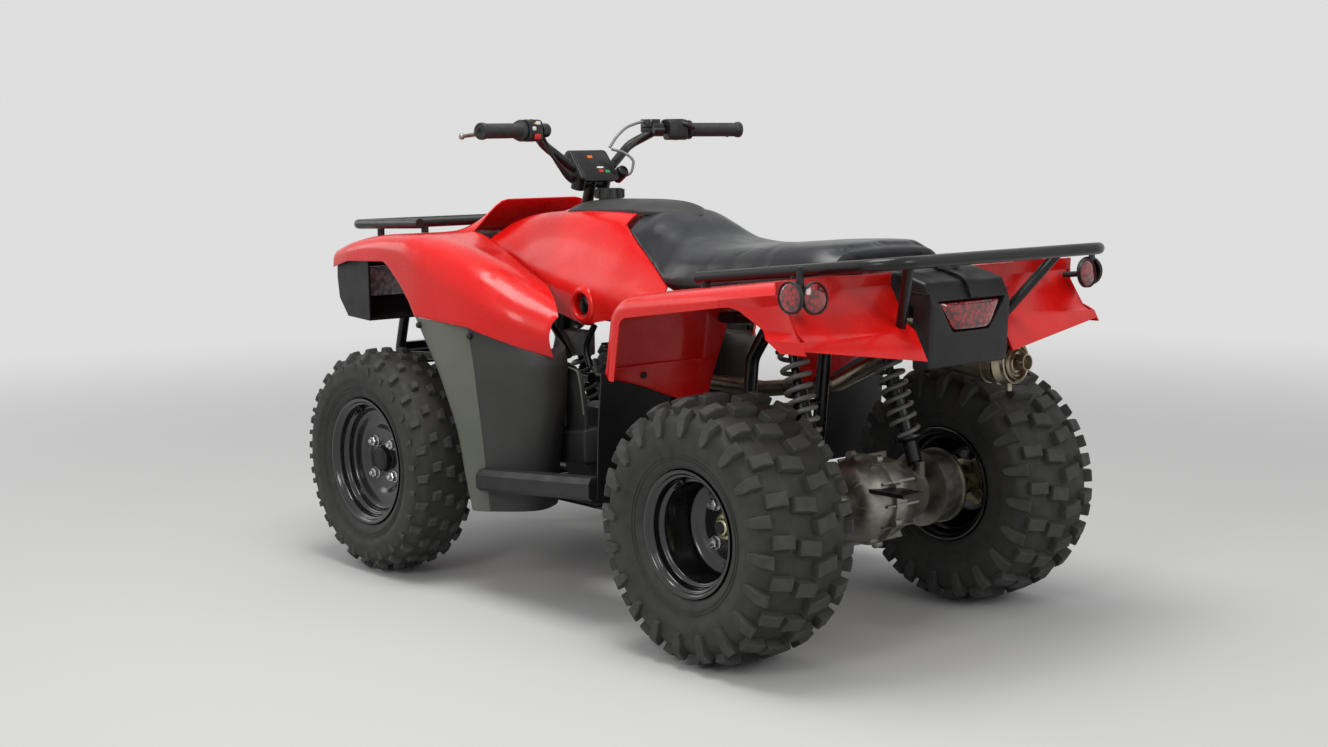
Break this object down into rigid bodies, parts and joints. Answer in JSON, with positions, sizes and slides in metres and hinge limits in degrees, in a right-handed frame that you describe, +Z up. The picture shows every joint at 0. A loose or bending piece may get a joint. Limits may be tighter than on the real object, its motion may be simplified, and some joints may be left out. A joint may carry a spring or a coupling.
{
  "type": "utility quad bike",
  "caption": "Utility quad bike with a solid rear axle, cargo racks front and rear, a handlebar that steers the front wheels through tie rods, and wheels that roll.",
  "frame": {"origin": "on the ground under the centre of the bounding box", "axes": "+X forward, +Y to the rider's left, +Z up"},
  "size_m": [1.902, 1.024, 1.071],
  "materials": {
    "red_plastic": "gloss moulded",
    "grey_plastic": "textured moulded",
    "black_plastic": "textured moulded",
    "frame_paint": "satin black",
    "rim_paint": "gloss black",
    "tyre_rubber": "matt",
    "seat_vinyl": "grained vinyl",
    "cast_alloy": "cast",
    "steel_zinc": "zinc plated",
    "steel_bare": "satin",
    "lamp_red": "moulded lens",
    "lamp_clear": "clear lens",
    "grip_rubber": "ribbed"
  },
  "bodies": {
    "chassis": {"frame": "frame_paint", "engine": "cast_alloy", "front_fender": "red_plastic", "tank_cover": "red_plastic", "tank_top": "grey_plastic", "fuel_cap": "black_plastic", "rear_fender": "red_plastic", "seat": "seat_vinyl", "front_rack": "frame_paint", "rear_rack": "frame_paint", "front_fascia": "black_plastic", "headlights": "lamp_clear", "bumper": "frame_paint", "tail_box": "black_plastic", "tail_light": "lamp_red", "reflectors": "lamp_red", "swingarm": "frame_paint", "final_drive": "cast_alloy", "rear_shocks": "steel_bare", "exhaust": "steel_bare", "skid_plate": "black_plastic", "hitch": "frame_paint", "leg_shields": "grey_plastic", "footwells": "black_plastic", "footpegs": "steel_bare", "rear_mudguards": "black_plastic", "front_arms": "frame_paint", "front_shocks": "steel_bare", "fuel_valve": "black_plastic", "side_cover": "grey_plastic"},
    "steering": {"steering_stem": "frame_paint", "handlebar": "frame_paint", "grips": "grip_rubber", "controls": "black_plastic", "instrument_pod": "black_plastic"},
    "knuckle_left": {"knuckle_left": "cast_alloy"},
    "knuckle_right": {"knuckle_right": "cast_alloy"},
    "front_wheel_left": {"front_tyre_left": "tyre_rubber", "front_rim_left": "rim_paint", "front_hub_left": "steel_zinc"},
    "front_wheel_right": {"front_tyre_right": "tyre_rubber", "front_rim_right": "rim_paint", "front_hub_right": "steel_zinc"},
    "tie_rod_left": {"tie_rod_left": "steel_bare"},
    "tie_rod_right": {"tie_rod_right": "steel_bare"},
    "rear_axle": {"rear_axle": "steel_zinc", "rear_rim_left": "rim_paint", "rear_rim_right": "rim_paint", "rear_tyre_left": "tyre_rubber", "rear_tyre_right": "tyre_rubber"}
  },
  "joints": [
    {"name": "steering_turn", "type": "hinge", "parent": "chassis", "child": "steering", "pos_m": [0.53, 0, 0.33], "axis": [-0.3256, 0, 0.9455], "range_deg": [-33, 33]},
    {"name": "kingpin_left", "type": "hinge", "parent": "chassis", "child": "knuckle_left", "pos_m": [0.585, 0.33, 0.268], "axis": [-0.0698, 0, 0.9976], "range_deg": [-34, 34]},
    {"name": "front_wheel_spin_left", "type": "hinge", "parent": "knuckle_left", "child": "front_wheel_left", "pos_m": [0.585, 0.429, 0.268], "axis": [0, 1, 0], "continuous": true},
    {"name": "tie_rod_turn_left", "type": "hinge", "parent": "steering", "child": "tie_rod_left", "pos_m": [0.48336, 0.014, 0.28115], "axis": [-0.3256, 0, 0.9455], "range_deg": [-36, 36]},
    {"name": "kingpin_right", "type": "hinge", "parent": "chassis", "child": "knuckle_right", "pos_m": [0.585, -0.33, 0.268], "axis": [-0.0698, 0, 0.9976], "range_deg": [-34, 34]},
    {"name": "front_wheel_spin_right", "type": "hinge", "parent": "knuckle_right", "child": "front_wheel_right", "pos_m": [0.585, -0.429, 0.268], "axis": [0, 1, 0], "continuous": true},
    {"name": "tie_rod_turn_right", "type": "hinge", "parent": "steering", "child": "tie_rod_right", "pos_m": [0.48336, -0.014, 0.28115], "axis": [-0.3256, 0, 0.9455], "range_deg": [-36, 36]},
    {"name": "rear_axle_spin", "type": "hinge", "parent": "chassis", "child": "rear_axle", "pos_m": [-0.545, 0, 0.266], "axis": [0, 1, 0], "continuous": true}
  ],
  "couplings": [
    {"joint": "kingpin_left", "follows": "steering_turn", "ratio": 1},
    {"joint": "tie_rod_turn_left", "follows": "steering_turn", "ratio": -1.04},
    {"joint": "kingpin_right", "follows": "steering_turn", "ratio": 1},
    {"joint": "tie_rod_turn_right", "follows": "steering_turn", "ratio": -1.04}
  ]
}
